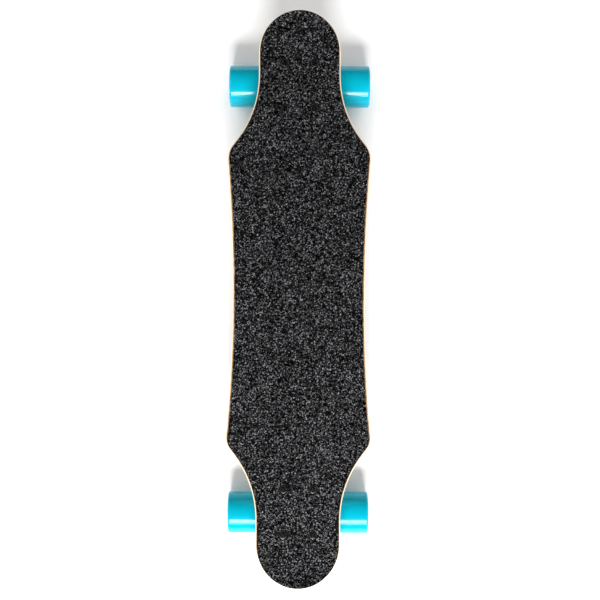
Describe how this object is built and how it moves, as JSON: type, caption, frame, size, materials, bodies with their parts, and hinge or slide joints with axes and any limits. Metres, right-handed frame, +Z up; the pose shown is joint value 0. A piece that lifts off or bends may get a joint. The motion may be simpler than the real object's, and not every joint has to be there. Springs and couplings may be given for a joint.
{
  "type": "electric skateboard",
  "caption": "Longboard with cut-outs over its wheels, sprung kingpin trucks, urethane wheels, a rear hub motor and an electronics tray under the deck.",
  "frame": {"origin": "on the ground under the middle of the board", "axes": "+Y towards the nose, +X to the rider's right when facing the nose, +Z up"},
  "size_m": [0.201, 0.8, 0.0995],
  "materials": {
    "maple_ply": "satin lacquer over maple plies",
    "grip": "coarse black abrasive",
    "black_steel": "black oxide, satin",
    "zinc_steel": "bright zinc",
    "cast_aluminium": "tumbled casting, satin",
    "urethane": "glossy turquoise urethane",
    "bushing_urethane": "semi-gloss urethane",
    "black_nylon": "moulded nylon",
    "anodised": "black anodised, turned",
    "lamination": "varnished steel laminations",
    "magnet": "nickel plated",
    "tray_plastic": "moulded, fine texture",
    "black_rubber": "matt",
    "cell_wrap": "shrink sleeve",
    "circuit_board": "solder mask",
    "gauge_lens": "smoked acrylic"
  },
  "bodies": {
    "board": {"deck": "maple_ply", "grip_tape": "grip", "deck_bolt_front_outer_left": "black_steel", "deck_bolt_front_outer_right": "black_steel", "deck_bolt_front_inner_left": "black_steel", "deck_bolt_front_inner_right": "black_steel", "deck_bolt_rear_outer_left": "black_steel", "deck_bolt_rear_outer_right": "black_steel", "deck_bolt_rear_inner_left": "black_steel", "deck_bolt_rear_inner_right": "black_steel", "front_baseplate": "cast_aluminium", "front_pivot_cup": "bushing_urethane", "front_kingpin": "zinc_steel", "front_kingpin_nut": "zinc_steel", "front_boardside_bushing": "bushing_urethane", "front_roadside_bushing": "bushing_urethane", "rear_baseplate": "cast_aluminium", "rear_pivot_cup": "bushing_urethane", "rear_kingpin": "zinc_steel", "rear_kingpin_nut": "zinc_steel", "rear_boardside_bushing": "bushing_urethane", "rear_roadside_bushing": "bushing_urethane", "electronics_tray": "tray_plastic", "tray_gasket": "black_rubber", "battery_pack": "cell_wrap", "bms_board": "circuit_board", "controller_board": "circuit_board", "heatsink": "cast_aluminium", "charge_socket": "black_steel", "power_switch": "black_nylon", "battery_gauge_window": "gauge_lens", "cable_gland": "black_nylon", "motor_cable": "black_rubber"},
    "front_truck": {"front_hanger": "cast_aluminium", "front_axle": "zinc_steel", "front_axle_nut_left": "zinc_steel", "front_axle_nut_right": "zinc_steel"},
    "rear_truck": {"rear_hanger": "cast_aluminium", "rear_axle": "zinc_steel", "rear_axle_nut_left": "zinc_steel", "rear_axle_nut_right": "zinc_steel", "motor_stator": "lamination"},
    "front_left_wheel": {"front_left_tire": "urethane", "front_left_wheel_core": "black_nylon", "front_left_wheel_bearings": "zinc_steel"},
    "front_right_wheel": {"front_right_tire": "urethane", "front_right_wheel_core": "black_nylon", "front_right_wheel_bearings": "zinc_steel"},
    "rear_left_wheel": {"rear_left_tire": "urethane", "rear_left_wheel_core": "black_nylon", "rear_left_wheel_bearings": "zinc_steel"},
    "rear_right_wheel": {"rear_right_tire": "urethane", "motor_can": "anodised", "motor_cover": "anodised", "motor_magnets": "magnet", "motor_outer_bearing": "zinc_steel", "motor_inner_bearing": "zinc_steel"},
    "button": {"power_button": "zinc_steel"},
    "socket_cap": {"charge_cap": "black_rubber"}
  },
  "joints": [
    {"name": "front_truck_steer", "type": "hinge", "parent": "board", "child": "front_truck", "pos_m": [0, 0.28379, 0.04895], "axis": [0, 0.8805, 0.4741], "range_deg": [-15, 15], "stiffness_Nm_per_rad": 40, "deforming": ["front_boardside_bushing", "front_roadside_bushing"]},
    {"name": "rear_truck_steer", "type": "hinge", "parent": "board", "child": "rear_truck", "pos_m": [0, -0.28379, 0.04895], "axis": [0, -0.8805, 0.4741], "range_deg": [-15, 15], "stiffness_Nm_per_rad": 40, "deforming": ["rear_boardside_bushing", "rear_roadside_bushing", "motor_cable"]},
    {"name": "front_left_wheel_spin", "type": "hinge", "parent": "front_truck", "child": "front_left_wheel", "pos_m": [-0.07775, 0.3075, 0.0295], "axis": [1, 0, 0], "continuous": true},
    {"name": "front_right_wheel_spin", "type": "hinge", "parent": "front_truck", "child": "front_right_wheel", "pos_m": [0.07775, 0.3075, 0.0295], "axis": [1, 0, 0], "continuous": true},
    {"name": "rear_left_wheel_spin", "type": "hinge", "parent": "rear_truck", "child": "rear_left_wheel", "pos_m": [-0.07775, -0.3075, 0.0295], "axis": [1, 0, 0], "continuous": true},
    {"name": "rear_right_wheel_spin", "type": "hinge", "parent": "rear_truck", "child": "rear_right_wheel", "pos_m": [0.07775, -0.3075, 0.0295], "axis": [1, 0, 0], "continuous": true},
    {"name": "power_button_press", "type": "slide", "parent": "board", "child": "button", "axis": [-1, 0, 0], "range_m": [0, 0.0015], "stiffness_N_per_m": 900},
    {"name": "charge_cap_open", "type": "hinge", "parent": "board", "child": "socket_cap", "pos_m": [0.0624, -0.095, 0.0729], "axis": [0, -1, 0], "range_deg": [0, 90]}
  ]
}
